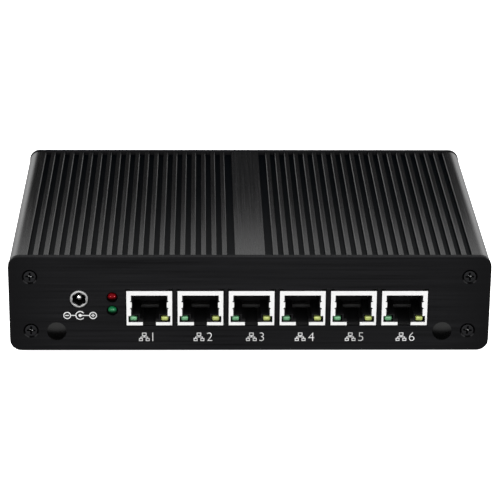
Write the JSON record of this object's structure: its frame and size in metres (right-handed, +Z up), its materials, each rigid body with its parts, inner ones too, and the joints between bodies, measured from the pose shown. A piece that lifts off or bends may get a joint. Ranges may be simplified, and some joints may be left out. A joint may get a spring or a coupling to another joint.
{
  "type": "firewall appliance",
  "caption": "Fanless network appliance: finned black aluminium case with flat end panels, a row of network jacks, power inlet, status lamps and rear sockets.",
  "frame": {"origin": "on the standing surface, under the middle of the object's bounding box", "axes": "+X along the case's width, to the right of someone facing the network jacks; +Y from the front panel to the rear panel; +Z up out of the finned top"},
  "size_m": [0.1694, 0.1164, 0.0383],
  "materials": {
    "anodised_extrusion": "black anodised, brushed along the fins",
    "anodised_panel": "black anodised, finely brushed across the width",
    "cover_paint": "black powder coat, fine texture",
    "black_screw": "black oxide steel",
    "zinc_screw": "bright zinc plate",
    "foot_rubber": "matt moulded rubber",
    "port_shield": "bright tinned sheet steel",
    "port_plastic": "black moulded",
    "nickel": "satin nickel plate",
    "red_lamp": "clear red epoxy dome",
    "green_lamp": "clear green epoxy dome",
    "yellow_lamp": "diffused yellow-green light pipe",
    "plug_plastic": "gloss black",
    "gold": "gold-plated contact",
    "label_ink": "pale screen-printed ink",
    "board": "green solder mask",
    "chip": "black epoxy",
    "bare_aluminium": "machined"
  },
  "bodies": {
    "case": {"heatsink_shell": "anodised_extrusion", "front_panel": "anodised_panel", "rear_panel": "anodised_panel", "bottom_cover": "cover_paint", "front_screw_1": "black_screw", "front_screw_2": "black_screw", "front_screw_3": "black_screw", "front_screw_4": "black_screw", "rear_screw_1": "black_screw", "rear_screw_2": "black_screw", "rear_screw_3": "black_screw", "rear_screw_4": "black_screw", "bottom_screw_1": "black_screw", "bottom_screw_2": "black_screw", "bottom_screw_3": "black_screw", "bottom_screw_4": "black_screw", "board_screw_1": "zinc_screw", "board_screw_2": "zinc_screw", "board_screw_3": "zinc_screw", "board_screw_4": "zinc_screw", "foot_1": "foot_rubber", "foot_2": "foot_rubber", "foot_3": "foot_rubber", "foot_4": "foot_rubber", "lan_jack_1_shield": "port_shield", "lan_jack_2_shield": "port_shield", "lan_jack_3_shield": "port_shield", "lan_jack_4_shield": "port_shield", "lan_jack_5_shield": "port_shield", "lan_jack_6_shield": "port_shield", "usb_port_1": "port_shield", "usb_port_2": "port_shield", "hdmi_port": "port_shield", "lan_jack_1_insert": "port_plastic", "lan_jack_2_insert": "port_plastic", "lan_jack_3_insert": "port_plastic", "lan_jack_4_insert": "port_plastic", "lan_jack_5_insert": "port_plastic", "lan_jack_6_insert": "port_plastic", "dc_jack_body": "port_plastic", "status_led_holder": "port_plastic", "memory_socket": "port_plastic", "drive_socket": "port_plastic", "dc_jack_sleeve": "nickel", "dc_jack_pin": "nickel", "power_button_bezel": "nickel", "coin_cell": "nickel", "status_led_red": "red_lamp", "status_led_green": "green_lamp", "motherboard": "board", "memory_module": "board", "drive_card": "board", "processor": "chip", "heat_block": "bare_aluminium"},
    "power_button": {"power_button_cap": "nickel"},
    "switch_plunger": {"power_switch_plunger": "port_plastic"},
    "left_antenna_plug": {"antenna_plug_left": "plug_plastic"},
    "right_antenna_plug": {"antenna_plug_right": "plug_plastic"},
    "front_memory_latch": {"memory_latch_front": "nickel"},
    "rear_memory_latch": {"memory_latch_rear": "nickel"}
  },
  "joints": [
    {"name": "power_button_press", "type": "slide", "parent": "case", "child": "power_button", "axis": [0, -1, 0], "range_m": [0, 0.001], "stiffness_N_per_m": 900},
    {"name": "switch_plunger_press", "type": "slide", "parent": "case", "child": "switch_plunger", "axis": [0, -1, 0], "range_m": [0, 0.001]},
    {"name": "left_plug_pull", "type": "slide", "parent": "case", "child": "left_antenna_plug", "axis": [0, -1, 0], "range_m": [0, 0.012]},
    {"name": "right_plug_pull", "type": "slide", "parent": "case", "child": "right_antenna_plug", "axis": [0, -1, 0], "range_m": [0, 0.012]},
    {"name": "front_latch_flex", "type": "hinge", "parent": "case", "child": "front_memory_latch", "pos_m": [0.06, -0.0313, 0.0149], "axis": [0, 0, 1], "range_deg": [0, 5], "stiffness_Nm_per_rad": 0.05},
    {"name": "rear_latch_flex", "type": "hinge", "parent": "case", "child": "rear_memory_latch", "pos_m": [0.06, 0.0389, 0.0149], "axis": [0, 0, -1], "range_deg": [0, 5], "stiffness_Nm_per_rad": 0.05}
  ],
  "couplings": [
    {"joint": "switch_plunger_press", "follows": "power_button_press", "ratio": 1}
  ]
}
